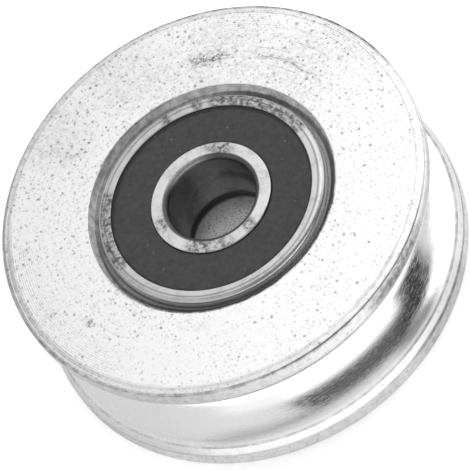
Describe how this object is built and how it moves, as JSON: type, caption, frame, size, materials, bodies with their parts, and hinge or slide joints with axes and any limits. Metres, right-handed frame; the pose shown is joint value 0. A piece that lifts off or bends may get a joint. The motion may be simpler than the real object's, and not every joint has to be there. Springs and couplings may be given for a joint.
{
  "type": "round groove track wheel with ball bearings",
  "caption": "Turned steel wheel with a round groove between its flanges, carried on sealed ball bearings with a plain through bore for the axle.",
  "frame": {"origin": "centre of the rear face, on the axle line; the wheel lies on this face", "axes": "+Z along the axle line, from the rear face to the front face; X and Y are any two directions in the rear face"},
  "size_m": [0.0485, 0.0484, 0.016],
  "materials": {
    "wheel_steel": "turned, bright plated, fine concentric tool marks",
    "ring_steel": "ground bearing steel",
    "seal_rubber": "matt moulded rubber",
    "washer_steel": "pressed sheet",
    "cage_steel": "pressed sheet",
    "ball_steel": "polished"
  },
  "bodies": {
    "wheel": {"wheel_body": "wheel_steel", "front_outer_ring": "ring_steel", "front_face_seal": "seal_rubber", "front_face_seal_washer": "washer_steel", "front_back_seal": "seal_rubber", "front_back_seal_washer": "washer_steel", "rear_outer_ring": "ring_steel", "rear_face_seal": "seal_rubber", "rear_face_seal_washer": "washer_steel", "rear_back_seal": "seal_rubber", "rear_back_seal_washer": "washer_steel"},
    "front_inner": {"front_inner_ring": "ring_steel"},
    "front_cage": {"front_cage_upper": "cage_steel", "front_cage_lower": "cage_steel", "front_cage_rivets": "cage_steel"},
    "front_ball_1": {"front_ball_1": "ball_steel"},
    "front_ball_2": {"front_ball_2": "ball_steel"},
    "front_ball_3": {"front_ball_3": "ball_steel"},
    "front_ball_4": {"front_ball_4": "ball_steel"},
    "front_ball_5": {"front_ball_5": "ball_steel"},
    "front_ball_6": {"front_ball_6": "ball_steel"},
    "front_ball_7": {"front_ball_7": "ball_steel"},
    "rear_inner": {"rear_inner_ring": "ring_steel"},
    "rear_cage": {"rear_cage_upper": "cage_steel", "rear_cage_lower": "cage_steel", "rear_cage_rivets": "cage_steel"},
    "rear_ball_1": {"rear_ball_1": "ball_steel"},
    "rear_ball_2": {"rear_ball_2": "ball_steel"},
    "rear_ball_3": {"rear_ball_3": "ball_steel"},
    "rear_ball_4": {"rear_ball_4": "ball_steel"},
    "rear_ball_5": {"rear_ball_5": "ball_steel"},
    "rear_ball_6": {"rear_ball_6": "ball_steel"},
    "rear_ball_7": {"rear_ball_7": "ball_steel"}
  },
  "joints": [
    {"name": "front_ring_turn", "type": "hinge", "parent": "wheel", "child": "front_inner", "pos_m": [0, 0, 0.01204], "axis": [0, 0, 1], "continuous": true},
    {"name": "front_cage_turn", "type": "hinge", "parent": "wheel", "child": "front_cage", "pos_m": [0, 0, 0.01204], "axis": [0, 0, 1], "continuous": true},
    {"name": "front_ball_1_spin", "type": "hinge", "parent": "front_cage", "child": "front_ball_1", "pos_m": [0.009, 0, 0.01204], "axis": [0, 0, 1], "continuous": true},
    {"name": "front_ball_2_spin", "type": "hinge", "parent": "front_cage", "child": "front_ball_2", "pos_m": [0.00561, 0.00704, 0.01204], "axis": [0, 0, 1], "continuous": true},
    {"name": "front_ball_3_spin", "type": "hinge", "parent": "front_cage", "child": "front_ball_3", "pos_m": [-0.002, 0.00877, 0.01204], "axis": [0, 0, 1], "continuous": true},
    {"name": "front_ball_4_spin", "type": "hinge", "parent": "front_cage", "child": "front_ball_4", "pos_m": [-0.00811, 0.00391, 0.01204], "axis": [0, 0, 1], "continuous": true},
    {"name": "front_ball_5_spin", "type": "hinge", "parent": "front_cage", "child": "front_ball_5", "pos_m": [-0.00811, -0.00391, 0.01204], "axis": [0, 0, 1], "continuous": true},
    {"name": "front_ball_6_spin", "type": "hinge", "parent": "front_cage", "child": "front_ball_6", "pos_m": [-0.002, -0.00877, 0.01204], "axis": [0, 0, 1], "continuous": true},
    {"name": "front_ball_7_spin", "type": "hinge", "parent": "front_cage", "child": "front_ball_7", "pos_m": [0.00561, -0.00704, 0.01204], "axis": [0, 0, 1], "continuous": true},
    {"name": "rear_ring_turn", "type": "hinge", "parent": "wheel", "child": "rear_inner", "pos_m": [0, 0, 0.004], "axis": [0, 0, 1], "continuous": true},
    {"name": "rear_cage_turn", "type": "hinge", "parent": "wheel", "child": "rear_cage", "pos_m": [0, 0, 0.004], "axis": [0, 0, 1], "continuous": true},
    {"name": "rear_ball_1_spin", "type": "hinge", "parent": "rear_cage", "child": "rear_ball_1", "pos_m": [0.009, 0, 0.004], "axis": [0, 0, 1], "continuous": true},
    {"name": "rear_ball_2_spin", "type": "hinge", "parent": "rear_cage", "child": "rear_ball_2", "pos_m": [0.00561, 0.00704, 0.004], "axis": [0, 0, 1], "continuous": true},
    {"name": "rear_ball_3_spin", "type": "hinge", "parent": "rear_cage", "child": "rear_ball_3", "pos_m": [-0.002, 0.00877, 0.004], "axis": [0, 0, 1], "continuous": true},
    {"name": "rear_ball_4_spin", "type": "hinge", "parent": "rear_cage", "child": "rear_ball_4", "pos_m": [-0.00811, 0.00391, 0.004], "axis": [0, 0, 1], "continuous": true},
    {"name": "rear_ball_5_spin", "type": "hinge", "parent": "rear_cage", "child": "rear_ball_5", "pos_m": [-0.00811, -0.00391, 0.004], "axis": [0, 0, 1], "continuous": true},
    {"name": "rear_ball_6_spin", "type": "hinge", "parent": "rear_cage", "child": "rear_ball_6", "pos_m": [-0.002, -0.00877, 0.004], "axis": [0, 0, 1], "continuous": true},
    {"name": "rear_ball_7_spin", "type": "hinge", "parent": "rear_cage", "child": "rear_ball_7", "pos_m": [0.00561, -0.00704, 0.004], "axis": [0, 0, 1], "continuous": true}
  ],
  "couplings": [
    {"joint": "front_cage_turn", "follows": "front_ring_turn", "ratio": 0.36772},
    {"joint": "front_ball_1_spin", "follows": "front_ring_turn", "ratio": -1.7577},
    {"joint": "front_ball_2_spin", "follows": "front_ring_turn", "ratio": -1.7577},
    {"joint": "front_ball_3_spin", "follows": "front_ring_turn", "ratio": -1.7577},
    {"joint": "front_ball_4_spin", "follows": "front_ring_turn", "ratio": -1.7577},
    {"joint": "front_ball_5_spin", "follows": "front_ring_turn", "ratio": -1.7577},
    {"joint": "front_ball_6_spin", "follows": "front_ring_turn", "ratio": -1.7577},
    {"joint": "front_ball_7_spin", "follows": "front_ring_turn", "ratio": -1.7577},
    {"joint": "rear_cage_turn", "follows": "rear_ring_turn", "ratio": 0.36772},
    {"joint": "rear_ball_1_spin", "follows": "rear_ring_turn", "ratio": -1.7577},
    {"joint": "rear_ball_2_spin", "follows": "rear_ring_turn", "ratio": -1.7577},
    {"joint": "rear_ball_3_spin", "follows": "rear_ring_turn", "ratio": -1.7577},
    {"joint": "rear_ball_4_spin", "follows": "rear_ring_turn", "ratio": -1.7577},
    {"joint": "rear_ball_5_spin", "follows": "rear_ring_turn", "ratio": -1.7577},
    {"joint": "rear_ball_6_spin", "follows": "rear_ring_turn", "ratio": -1.7577},
    {"joint": "rear_ball_7_spin", "follows": "rear_ring_turn", "ratio": -1.7577}
  ]
}
